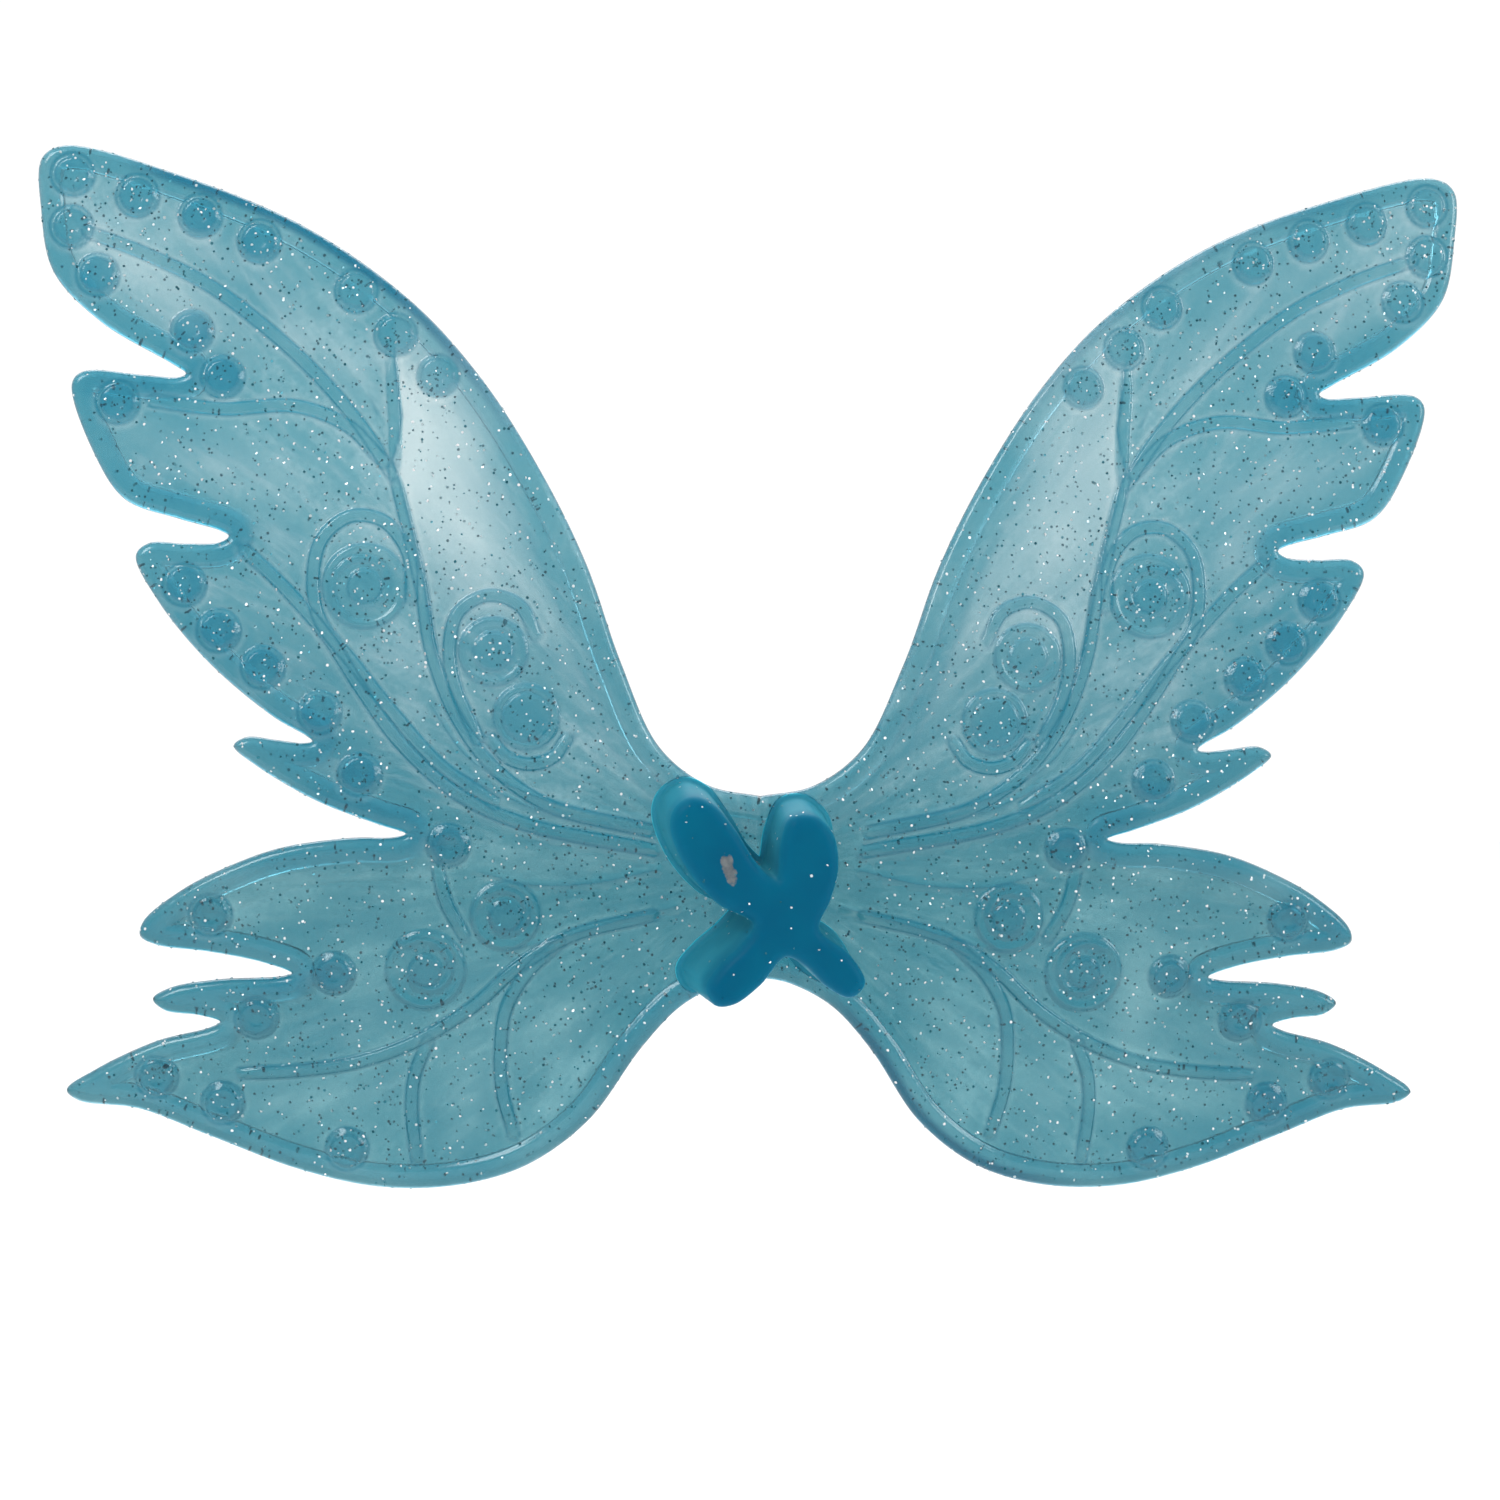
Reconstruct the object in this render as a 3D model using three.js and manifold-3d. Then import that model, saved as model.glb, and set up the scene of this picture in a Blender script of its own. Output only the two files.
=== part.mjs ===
// Fairy wings for a fashion doll: a soft moulded web with a butterfly-shaped plug on its front,
// and four scalloped lobes that flex where they leave the web.
// Millimetres. X to the right, Z up as worn, the plug points along -Y towards the doll's back.
// The origin is the point of the web's middle plane where the plug stands, on the line of symmetry.
import * as THREE from 'three';
import { mergeVertices } from 'three/addons/utils/BufferGeometryUtils.js';
import Module from 'manifold-3d';

// thicknesses through the sheet, from front face to back face
const RIM_THICKNESS = 2.0;
const PANEL_THICKNESS = 1.0;

// heights of the relief over the front face of the panel
const RIB_HEIGHT = 0.4;
const STUD_HEIGHT = 0.7;
const DISC_HEIGHT = 0.25;
const DISC_EYE_HEIGHT = 0.6;

// sizes in the plane of the sheet, laid flat
const WINGSPAN = 164;
const WING_HEIGHT = 118;
const RIM_WIDTH = 2.6;
const RIB_WIDTH = 1.5;
const STUD_DIAMETER = 4.9;
const STUD_SIDES = 12;
const DISC_SIDES = 18;
const CURVE_STEPS = 2;

// the lobes sweep back from the web along four flex lines
const SWEEP_ANGLE = 8;
const FLEX_GAP = 0.7;

// the plug
const PLUG_WIDTH = 22;
const PLUG_HEIGHT = 23;
const PLUG_LENGTH = 12.0;
const PLUG_DRAFT = 0.06;
const PLUG_LEAN_X = 0.95;
const PLUG_LEAN_Z = -0.8;
const PLUG_SKEW = -0.09;

// The points below are drawn at these sizes, then stretched to the sizes above.
const DRAWN_WINGS = { width: 164, height: 118 };
const DRAWN_PLUG = { width: 22, height: 23 };

// Left half of the outline from the middle of the top edge, feather by feather, as [x, z].
const FOREWING_EDGE = [
  [0, 9.6], [-6, 10.8], [-11.5, 15], [-16, 24.5], [-20, 35.5], [-25, 45.5], [-32, 56.3],
  [-40, 65], [-52, 73.3], [-66, 79], [-79.5, 82.3], [-82, 80.8], [-82, 75], [-80.5, 68],
  [-75, 62.3], [-67, 57.7], [-65.4, 56.6], [-66.2, 56.2], [-70, 56.4], [-77, 56.7],
  [-78.2, 55.3], [-75.5, 47.3], [-72, 42.3], [-66, 40.2], [-61.3, 38.9], [-60.3, 38.3],
  [-61.3, 37.6], [-65, 37.4], [-69.3, 37.4], [-70.7, 36], [-68.2, 31], [-62.3, 24],
  [-55, 18], [-51.3, 15.9], [-50.6, 15.3], [-51.6, 15.1], [-54.5, 15.4], [-58, 15.7],
  [-59.4, 14.7], [-57, 12.6], [-50, 8.6], [-43, 6], [-40, 5],
];
const HINDWING_EDGE = [
  [-41.5, 4.6], [-46, 4.5], [-54, 3.2], [-60, 0.9], [-65, -1.8], [-69.4, -5.5],
  [-69.8, -7.2], [-68, -8.2], [-62, -8.9], [-56, -10], [-52.7, -11.2], [-54, -11.6],
  [-61, -12.1], [-66.5, -13.2], [-68.4, -14.5], [-67, -15.8], [-63, -16.3], [-60.8, -17],
  [-62, -17.7], [-68, -19.4], [-75, -22.9], [-78.2, -25.3], [-76.8, -26.5], [-70, -27.3],
  [-62, -30.3], [-52, -34], [-43, -35.9], [-34, -35.6], [-26, -33.1], [-19, -27.7],
  [-13, -19.1], [-8.5, -14.3], [-3.5, -11.7], [0, -11.1],
];

// Each flex line crosses a lobe from the notch between the lobes to the outer edge.
const FLEX_LINES = {
  forewing: { inner: [-18.3, 26.8], outer: [-42.4, 8.3], far: [-100, 110] },
  hindwing: { inner: [-16.5, -21.2], outer: [-42.7, 2.1], far: [-100, -60] },
};
const LOBE_SPLIT_Z = 5.3;

// Round studs along the feathers, as [x, z].
const STUDS = [
  [-78.4, 78.9], [-71.1, 76.6], [-64, 74.4], [-57.3, 71.6], [-46.3, 66.1], [-41.8, 61.2],
  [-37, 56.6], [-78.4, 73], [-75.4, 67.6], [-64.7, 61.4], [-61.2, 56.2], [-72.9, 53.2],
  [-65.1, 32.7], [-61.2, 27.6], [-56.2, 23.5], [-49.8, 18.5], [-45.2, 11.6], [-35.2, 3.8],
  [-61.8, -4.5], [-47.9, -11], [-56.6, -16.3], [-67.9, -23.4], [-60.4, -26.3], [-46.3, -31.4],
];

// Large discs that the curled ribs end in, as [x, z, outer radius, eye radius].
const DISCS = [
  [-44.9, 32.8, 4.9, 1.9],
  [-30.4, 25.6, 4, 2.2],
  [-26.6, 18.3, 3.8, 2.7],
  [-28.7, -4.1, 4, 1.8],
  [-37.6, -10.4, 4.6, 1.8],
];

// Centre lines of the raised veins, as [x, z].
const RIBS = [
  // main vein of the forewing, from its tip down to the stem
  [[-76.5, 72.4], [-70, 70], [-63, 66.6], [-56, 61.5], [-50, 56], [-45.5, 50.7], [-42, 45.5]],
  // vein from the studs at the top edge
  [[-42.2, 59], [-42, 55], [-41.7, 50.5], [-41.6, 45.2]],
  // vein from the second feather
  [[-69, 53.4], [-61, 52.6], [-53, 53], [-47, 50.8], [-43, 46.8]],
  // stem that runs down to the plug
  [[-41.8, 46], [-40.3, 40], [-38.6, 33], [-37.3, 25.5], [-34.3, 18], [-30, 12.4], [-24, 8.4],
    [-12.5, 5.6]],
  // vein from the second notch
  [[-58.5, 36.8], [-54, 32.6], [-49, 27], [-45, 21], [-40.5, 15], [-34.5, 9.8], [-27, 6.4],
    [-12, 3.4]],
  // curled vein round the large disc
  [[-39.6, 31.5], [-40.1, 36.6], [-43, 40.2], [-46.7, 40.6], [-49.8, 38], [-50.7, 33.5],
    [-49.9, 29], [-46, 24], [-41.5, 18.5], [-36, 12.6], [-30, 8.6]],
  // curled vein round the second disc
  [[-25.6, 27.5], [-27.5, 30.8], [-31, 31.9], [-34.3, 30], [-35.3, 26], [-34.6, 21.5],
    [-32, 15.8]],
  // short arc under the third disc
  [[-30.6, 15.8], [-28.8, 13.8], [-26.3, 13], [-23.6, 13.8], [-22, 16]],
  // veins of the hindwing
  [[-58.5, -22.9], [-51, -22.3], [-45, -21.2], [-38.8, -18.8], [-32.5, -14.8], [-27, -9.8],
    [-21, -6.3], [-12, -4]],
  [[-37.2, -18.6], [-38.7, -22.7], [-39, -26.5], [-38.4, -32.5]],
  [[-22.5, -7.2], [-26, -10.4], [-28.4, -14.6], [-29, -19], [-28.8, -24], [-27.4, -29.4]],
  [[-36.4, 1.4], [-35.4, -2.6], [-33.3, -6.4]],
];

// Outline of the plug where it stands on the web: an uneven butterfly, as [x, z].
const PLUG_OUTLINE = [
  [-9, 11.2], [-11.2, 9.8], [-11.8, 7.6], [-10.2, 3.2], [-6.8, -0.7], [-2.8, -2.9],
  [-4.2, -5], [-7, -7.5], [-8.8, -10], [-7.9, -12], [-5.7, -11.9], [-2.4, -9.7], [0.8, -6.6],
  [3, -7.6], [5.4, -9.9], [8.1, -11.1], [10, -9.4], [8.4, -6.3], [5, -3.4],
  [6.5, -0.2], [7.7, 3.5], [7.3, 7.2], [5, 9.3], [2.3, 8.9], [1, 6], [0.2, 2.2],
  [-1.7, 3.6], [-4.2, 7.6], [-6.6, 10.4],
];

const wasm = await Module();
wasm.setup();

function wingPoint([x, z]) {
  const wide = WINGSPAN / DRAWN_WINGS.width;
  const high = WING_HEIGHT / DRAWN_WINGS.height;
  return new THREE.Vector3(x * wide, z * high, 0);
}

function plugPoint([x, z]) {
  const wide = PLUG_WIDTH / DRAWN_PLUG.width;
  const high = PLUG_HEIGHT / DRAWN_PLUG.height;
  return new THREE.Vector3(x * wide, z * high, 0);
}

function smooth(points, closed) {
  const curve = new THREE.CatmullRomCurve3(points, closed, 'centripetal');
  const spans = closed ? points.length : points.length - 1;
  const samples = curve.getPoints(spans * CURVE_STEPS);
  return closed ? samples.slice(0, -1) : samples;
}

function mirrored(points) {
  return points.map((p) => new THREE.Vector3(-p.x, p.y, 0));
}

// Joins and cuts need each solid as a manifold with shared vertices.
function toManifold(geometry) {
  const bare = geometry.index ? geometry.toNonIndexed() : geometry.clone();
  bare.deleteAttribute('normal');
  bare.deleteAttribute('uv');
  const merged = mergeVertices(bare, 1e-4);
  return new wasm.Manifold(new wasm.Mesh({
    numProp: 3,
    vertProperties: new Float32Array(merged.attributes.position.array),
    triVerts: new Uint32Array(merged.index.array),
  }));
}

function toGeometry(solid) {
  const mesh = solid.getMesh();
  const geometry = new THREE.BufferGeometry();
  geometry.setAttribute('position', new THREE.BufferAttribute(mesh.vertProperties, 3));
  geometry.setIndex(new THREE.BufferAttribute(mesh.triVerts, 1));
  geometry.computeVertexNormals();
  return geometry;
}

// A plate with the given outline, standing in the XZ plane between two Y values.
function plate(points, front, back) {
  const shape = new THREE.Shape(points.map((p) => new THREE.Vector2(p.x, p.y)));
  const geometry = new THREE.ExtrudeGeometry(shape, { depth: back - front, bevelEnabled: false });
  geometry.rotateX(Math.PI / 2);
  geometry.translate(0, back, 0);
  return geometry;
}

function sheet(points, thickness) {
  return toManifold(plate(points, -thickness / 2, thickness / 2));
}

// The front of anything that stands on the panel by a given height; it is rooted in the panel.
function reliefFront(height) {
  return -PANEL_THICKNESS / 2 - height;
}

function outline() {
  const left = smooth([...FOREWING_EDGE, ...HINDWING_EDGE].map(wingPoint), false);
  const right = mirrored(left).reverse().slice(1, -1);
  return [...left, ...right];
}

function distanceToEdge(point, edge) {
  const line = new THREE.Line3();
  const foot = new THREE.Vector3();
  return Math.min(...edge.map((a, i) => {
    line.set(a, edge[(i + 1) % edge.length]);
    return line.closestPointToPoint(point, true, foot).distanceTo(point);
  }));
}

// The same outline moved inwards; points that would come too near another edge are left out.
function inset(edge, distance) {
  const moved = edge.map((p, i) => {
    const before = edge[(i + edge.length - 1) % edge.length];
    const after = edge[(i + 1) % edge.length];
    const along = after.clone().sub(before).normalize();
    return new THREE.Vector3(p.x - along.y * distance, p.y + along.x * distance, 0);
  });
  return moved.filter((p) => distanceToEdge(p, edge) > distance * 0.93);
}

// A vein: a band of constant width along a smooth line.
function rib(points) {
  const line = smooth(points, false);
  const sides = [[], []];
  line.forEach((p, i) => {
    const before = line[Math.max(i - 1, 0)];
    const after = line[Math.min(i + 1, line.length - 1)];
    const along = after.clone().sub(before).normalize().multiplyScalar(RIB_WIDTH / 2);
    sides[0].push(new THREE.Vector3(p.x - along.y, p.y + along.x, 0));
    sides[1].unshift(new THREE.Vector3(p.x + along.y, p.y - along.x, 0));
  });
  return toManifold(plate([...sides[0], ...sides[1]], reliefFront(RIB_HEIGHT), 0));
}

function roundBoss(centre, radius, height, sides) {
  const front = reliefFront(height);
  const geometry = new THREE.CylinderGeometry(radius, radius, -front, sides);
  geometry.translate(centre.x, front / 2, centre.y);
  return toManifold(geometry);
}

function stud(centre) {
  return roundBoss(centre, STUD_DIAMETER / 2, STUD_HEIGHT, STUD_SIDES);
}

function disc(centre, radius, eyeRadius) {
  const body = roundBoss(centre, radius, DISC_HEIGHT, DISC_SIDES);
  return body.add(roundBoss(centre, eyeRadius, DISC_EYE_HEIGHT, STUD_SIDES));
}

// Veins, studs and discs of both halves.
function relief() {
  const pieces = [];
  for (const side of [(p) => p, mirrored]) {
    RIBS.forEach((points) => pieces.push(rib(side(points.map(wingPoint)))));
    STUDS.forEach((point) => pieces.push(stud(side([wingPoint(point)])[0])));
    DISCS.forEach(([x, z, radius, eye]) => {
      pieces.push(disc(side([wingPoint([x, z])])[0], radius, eye));
    });
  }
  return pieces.reduce((whole, piece) => whole.add(piece));
}

// The pad on the web that carries the plug has the plug's own outline.
function plugOutline() {
  return smooth(PLUG_OUTLINE.map(plugPoint), true);
}

// The whole flat moulding: a rim all round a thinner panel, with the relief on the front.
function moulding() {
  const edge = outline();
  const panel = inset(edge, RIM_WIDTH);
  const recess = (RIM_THICKNESS - PANEL_THICKNESS) / 2;
  const half = RIM_THICKNESS / 2;
  const frontRecess = toManifold(plate(panel, -half - 1, -half + recess));
  const backRecess = toManifold(plate(panel, half - recess, half + 1));
  return sheet(edge, RIM_THICKNESS)
    .subtract(frontRecess)
    .subtract(backRecess)
    .add(relief())
    .add(sheet(plugOutline(), RIM_THICKNESS));
}

// The axis of one flex line, and the direction outwards across it.
function flexLine(name, side) {
  const [inner, outer] = [FLEX_LINES[name].inner, FLEX_LINES[name].outer].map(wingPoint);
  const along = outer.clone().sub(inner).normalize();
  const outward = new THREE.Vector3(along.y, -along.x, 0);
  if (name === 'hindwing') outward.negate();
  const flip = (v) => new THREE.Vector3(side * v.x, v.y, 0);
  return { point: flip(outer), along: flip(along), outward: flip(outward) };
}

// Everything of one lobe that lies further out than the flex line plus an offset.
function lobeRegion(name, side, offset) {
  const { point, along, outward } = flexLine(name, side);
  const onLine = (length) => point.clone()
    .addScaledVector(along, length)
    .addScaledVector(outward, offset);
  const far = wingPoint(FLEX_LINES[name].far);
  const split = wingPoint([0, LOBE_SPLIT_Z]).y;
  const start = onLine(0);
  const toSplit = (split - start.y) / along.y;
  const low = onLine(toSplit);
  const high = onLine(-45);
  const corners = [
    low,
    high,
    new THREE.Vector3(high.x, far.y, 0),
    new THREE.Vector3(side * far.x, far.y, 0),
    new THREE.Vector3(side * far.x, split, 0),
  ];
  return sheet(THREE.ShapeUtils.isClockWise(corners) ? corners.reverse() : corners, 10);
}

// Turns a lobe back about its flex line, in the middle plane of the sheet.
function sweptBack(mesh, name, side) {
  const { point, along } = flexLine(name, side);
  const pivot = new THREE.Vector3(point.x, 0, point.y);
  const axis = new THREE.Vector3(along.x, 0, along.y);
  const turn = new THREE.Group();
  turn.position.copy(pivot);
  mesh.position.copy(pivot).negate();
  const backwards = (name === 'forewing' ? 1 : -1) * side;
  turn.quaternion.setFromAxisAngle(axis, backwards * THREE.MathUtils.degToRad(SWEEP_ANGLE));
  turn.add(mesh);
  return turn;
}

// The plug narrows by its draft and leans a little to one side as it rises.
function plugGeometry() {
  const geometry = plate(plugOutline(), -PLUG_LENGTH, 0);
  const position = geometry.attributes.position;
  for (let i = 0; i < position.count; i += 1) {
    const x = position.getX(i);
    const z = position.getZ(i);
    const rise = -position.getY(i) / PLUG_LENGTH;
    const lean = PLUG_LEAN_X + PLUG_SKEW * (z + 3);
    position.setX(i, x * (1 - PLUG_DRAFT * rise) + lean * rise);
    position.setZ(i, z + PLUG_LEAN_Z * rise);
  }
  return toGeometry(toManifold(geometry));
}

function tinted(colour) {
  return new THREE.MeshStandardMaterial({
    color: colour,
    roughness: 0.25,
    metalness: 0,
    transparent: true,
    opacity: 0.7,
    flatShading: true,
  });
}

function named(name, geometry, colour) {
  const mesh = new THREE.Mesh(geometry, tinted(colour));
  mesh.name = name;
  return mesh;
}

function buildWings() {
  const whole = moulding();
  const wings = new THREE.Group();
  const lobes = ['left', 'right'].flatMap((hand) => Object.keys(FLEX_LINES)
    .map((name) => ({ hand, name, side: hand === 'left' ? 1 : -1 })));
  let web = whole;
  for (const { hand, name, side } of lobes) {
    const lobe = whole.intersect(lobeRegion(name, side, FLEX_GAP / 2));
    web = web.subtract(lobeRegion(name, side, -FLEX_GAP / 2));
    const colour = name === 'forewing' ? '#77b0bf' : '#4f8f9f';
    wings.add(sweptBack(named(`${hand}_${name}`, toGeometry(lobe), colour), name, side));
  }
  wings.add(named('centre_web', toGeometry(web), '#4a8c9a'));
  const plug = named('butterfly_plug', plugGeometry(), '#04648c');
  plug.position.y = -RIM_THICKNESS / 2;
  wings.add(plug);
  return wings;
}

const group = buildWings();

export default group;
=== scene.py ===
import math

import bmesh
import bpy
import numpy as np
from mathutils import Matrix, Vector
from mathutils.geometry import delaunay_2d_cdt


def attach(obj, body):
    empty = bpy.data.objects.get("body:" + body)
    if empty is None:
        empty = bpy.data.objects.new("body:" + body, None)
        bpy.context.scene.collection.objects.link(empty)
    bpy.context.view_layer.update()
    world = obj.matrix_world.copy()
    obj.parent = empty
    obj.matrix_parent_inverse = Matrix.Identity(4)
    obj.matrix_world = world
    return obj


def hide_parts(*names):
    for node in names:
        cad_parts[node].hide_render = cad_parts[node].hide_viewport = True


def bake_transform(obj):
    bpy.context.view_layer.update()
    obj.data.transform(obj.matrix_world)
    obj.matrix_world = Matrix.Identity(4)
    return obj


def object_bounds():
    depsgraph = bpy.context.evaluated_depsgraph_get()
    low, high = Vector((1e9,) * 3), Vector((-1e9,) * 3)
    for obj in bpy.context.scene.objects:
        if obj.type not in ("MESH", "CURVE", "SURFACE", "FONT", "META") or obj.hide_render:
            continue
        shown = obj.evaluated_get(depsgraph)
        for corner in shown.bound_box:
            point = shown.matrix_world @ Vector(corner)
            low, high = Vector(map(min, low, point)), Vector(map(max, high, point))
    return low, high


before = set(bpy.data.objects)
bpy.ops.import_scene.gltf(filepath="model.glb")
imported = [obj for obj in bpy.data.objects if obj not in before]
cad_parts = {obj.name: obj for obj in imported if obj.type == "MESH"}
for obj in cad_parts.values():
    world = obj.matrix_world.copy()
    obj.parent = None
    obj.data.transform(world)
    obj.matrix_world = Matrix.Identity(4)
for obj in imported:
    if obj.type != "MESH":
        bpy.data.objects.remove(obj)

cad_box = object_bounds()
MM = 0.001

# ---------------------------------------------------------------- camera
# The wings are seen from the side of the plug, a little from the left and from above, through
# a long lens about 45 cm away.
CAMERA_PLACE = (-0.0469, -0.4494, 0.0464)
CAMERA_TURNS = (("Z", -5.8), ("X", -4.0), ("Y", -0.95), ("X", 90.0))

lens = bpy.data.cameras.new("long_lens")
lens.lens = 96
lens.sensor_width = 36
lens.clip_start = 0.01
camera = bpy.data.objects.new("camera", lens)
bpy.context.scene.collection.objects.link(camera)
camera_turn = Matrix.Identity(3)
for axis, degrees in CAMERA_TURNS:
    camera_turn = camera_turn @ Matrix.Rotation(math.radians(degrees), 3, axis)
camera.matrix_world = Matrix.Translation(CAMERA_PLACE) @ camera_turn.to_4x4()
bpy.context.scene.camera = camera


# ---------------------------------------------------------------- floor and studio light
# A plain white floor well below the wings, an even white surround and soft boxes. The surround is
# brighter behind and above than in front, so that the clear sheet is lit through.
class Signal:
    """One output of a shader node that can take part in sums."""

    def __init__(self, finish, socket):
        self.finish = finish
        self.socket = socket

    def math(self, operation, *others):
        return self.finish.node(
            "ShaderNodeMath", {"operation": operation}, dict(enumerate((self, *others)))
        )

    def __add__(self, other):
        return self.math("ADD", other)

    def __sub__(self, other):
        return self.math("SUBTRACT", other)

    def __rsub__(self, other):
        return self.finish.node(
            "ShaderNodeMath", {"operation": "SUBTRACT"}, {0: other, 1: self}
        )

    def __mul__(self, other):
        return self.math("MULTIPLY", other)

    def __truediv__(self, other):
        return self.math("DIVIDE", other)

    def __pow__(self, other):
        return self.math("POWER", other)

    __radd__ = __add__
    __rmul__ = __mul__

    def clamp(self):
        return self.finish.node("ShaderNodeClamp", {}, {"Value": self})


class Finish:
    """A material, or the surround, that is written as expressions."""

    def __init__(self, name, world=False):
        kind = bpy.data.worlds if world else bpy.data.materials
        self.block = kind.new(name)
        self.block.use_nodes = True
        self.tree = self.block.node_tree
        self.tree.nodes.clear()

    def node(self, kind, settings, sockets, out=0):
        made = self.tree.nodes.new(kind)
        for key, value in settings.items():
            if key == "stops":
                ramp = made.color_ramp
                while len(ramp.elements) < len(value):
                    ramp.elements.new(0.5)
                for stop, (place, colour) in zip(ramp.elements, value):
                    stop.position = place
                    stop.color = (*colour, 1.0)
            else:
                setattr(made, key, value)
        for key, value in sockets.items():
            if isinstance(value, Signal):
                self.tree.links.new(value.socket, made.inputs[key])
            else:
                made.inputs[key].default_value = value
        return Signal(self, made.outputs[out]) if made.outputs else made

    def mix(self, factor, first, second, blend="MIX"):
        return self.node(
            "ShaderNodeMix",
            {"data_type": "RGBA", "blend_type": blend},
            {0: factor, 6: first, 7: second},
            out=2,
        )

    def painted(self, label):
        """A number that the mesh carries at each point."""
        return self.node("ShaderNodeAttribute", {"attribute_name": label}, {}, out=2)


def add_object(name, mesh):
    made = bpy.data.objects.new(name, mesh)
    bpy.context.scene.collection.objects.link(made)
    return made


FLOOR_Z = cad_box[0].z - 0.22
FLOOR_RADIUS = 3.0
FLOOR_SIDES = 96
FRONT_GLOW = (0.62, 0.66, 0.68, 1)
BEHIND_GLOW = (1.06, 1.06, 1.06, 1)
LIT_MIDDLE = Vector((0, 0, 0.02))

floor_mesh = bpy.data.meshes.new("floor")
floor_ring = [
    (
        FLOOR_RADIUS * math.cos(side * math.tau / FLOOR_SIDES),
        FLOOR_RADIUS * math.sin(side * math.tau / FLOOR_SIDES),
        FLOOR_Z,
    )
    for side in range(FLOOR_SIDES)
]
floor_mesh.from_pydata(floor_ring, [], [range(FLOOR_SIDES)])
white_floor = Finish("white_floor")
floor_grain = white_floor.node("ShaderNodeTexNoise", {}, {"Scale": 90.0, "Detail": 3.0})
floor_shader = white_floor.node(
    "ShaderNodeBsdfPrincipled",
    {},
    {"Base Color": (0.92, 0.92, 0.92, 1), "Roughness": 0.75 + 0.1 * floor_grain},
)
white_floor.node("ShaderNodeOutputMaterial", {}, {0: floor_shader})
floor_mesh.materials.append(white_floor.block)
add_object("floor", floor_mesh)

surround = Finish("surround", world=True)
aim = surround.node("ShaderNodeTexCoord", {}, {}, out=0)
aim_y = surround.node("ShaderNodeSeparateXYZ", {}, {0: aim}, out=1)
glow = surround.mix((aim_y * 0.5 + 0.5).clamp(), FRONT_GLOW, BEHIND_GLOW)
sky = surround.node("ShaderNodeBackground", {}, {"Color": glow, "Strength": 1.0})
surround.node("ShaderNodeOutputWorld", {}, {0: sky})
bpy.context.scene.world = surround.block


def soft_box(name, place, size, watts, facing_down=False):
    light = bpy.data.lights.new(name, "AREA")
    light.shape = "RECTANGLE"
    light.size, light.size_y = size
    light.energy = watts
    lamp = add_object(name, light)
    lamp.location = place
    if not facing_down:
        away = Vector(place) - LIT_MIDDLE
        lamp.rotation_euler = away.to_track_quat("Z", "Y").to_euler()


soft_box("key_left_above", (-0.8, -0.9, 0.95), (0.5, 0.7), 9)
soft_box("fill_right", (1.3, -0.7, 0.5), (0.6, 0.6), 6)
soft_box("top_behind", (0.1, 0.9, 1.3), (1.2, 0.7), 8)
soft_box("floor_wash", (0.0, 2.3, 1.6), (3.2, 2.0), 17, facing_down=True)
bpy.context.scene.view_settings.view_transform = "Standard"

# ---------------------------------------------------------------- sheet outline
# The wings are one soft vinyl moulding, injected in one shot: a thin panel with a thicker rim
# along its feathered edge. The right half mirrors the left, so only the left half is drawn.
RIM_THICKNESS = 2.0
PANEL_THICKNESS = 1.0
RIM_WIDTH = 2.6
EDGE_ROUNDING = 0.95
POINT_SPACING = 0.42

# from the middle of the top edge round the feathers, as x, z in mm
FOREWING_EDGE = [
    (0, 9.6), (-6, 10.8), (-11.5, 15), (-16, 24.5), (-20, 35.5), (-25, 45.5), (-32, 56.3),
    (-40, 65), (-52, 73.3), (-66, 79), (-79.5, 82.3), (-82, 80.8), (-82, 75), (-80.5, 68),
    (-75, 62.3), (-67, 57.7), (-65.4, 56.6), (-66.2, 56.2), (-70, 56.4), (-77, 56.7),
    (-78.2, 55.3), (-75.5, 47.3), (-72, 42.3), (-66, 40.2), (-61.3, 38.9), (-60.3, 38.3),
    (-61.3, 37.6), (-65, 37.4), (-69.3, 37.4), (-70.7, 36), (-68.2, 31), (-62.3, 24),
    (-55, 18), (-51.3, 15.9), (-50.6, 15.3), (-51.6, 15.1), (-54.5, 15.4), (-58, 15.7),
    (-59.4, 14.7), (-57, 12.6), (-50, 8.6), (-43, 6), (-40, 5),
]
HINDWING_EDGE = [
    (-41.5, 4.6), (-46, 4.5), (-54, 3.2), (-60, 0.9), (-65, -1.8), (-69.4, -5.5),
    (-69.8, -7.2), (-68, -8.2), (-62, -8.9), (-56, -10), (-52.7, -11.2), (-54, -11.6),
    (-61, -12.1), (-66.5, -13.2), (-68.4, -14.5), (-67, -15.8), (-63, -16.3), (-60.8, -17),
    (-62, -17.7), (-68, -19.4), (-75, -22.9), (-78.2, -25.3), (-76.8, -26.5), (-70, -27.3),
    (-62, -30.3), (-52, -34), (-43, -35.9), (-34, -35.6), (-26, -33.1), (-19, -27.7),
    (-13, -19.1), (-8.5, -14.3), (-3.5, -11.7), (0, -11.1),
]
# the notch between the two lobes, and where each lobe's inner edge leaves the web
NOTCH = (-40.0, 5.0)
FOREWING_ROOT = (-15.86, 23.53)
HINDWING_ROOT = (-13.8, -18.3)


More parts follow.
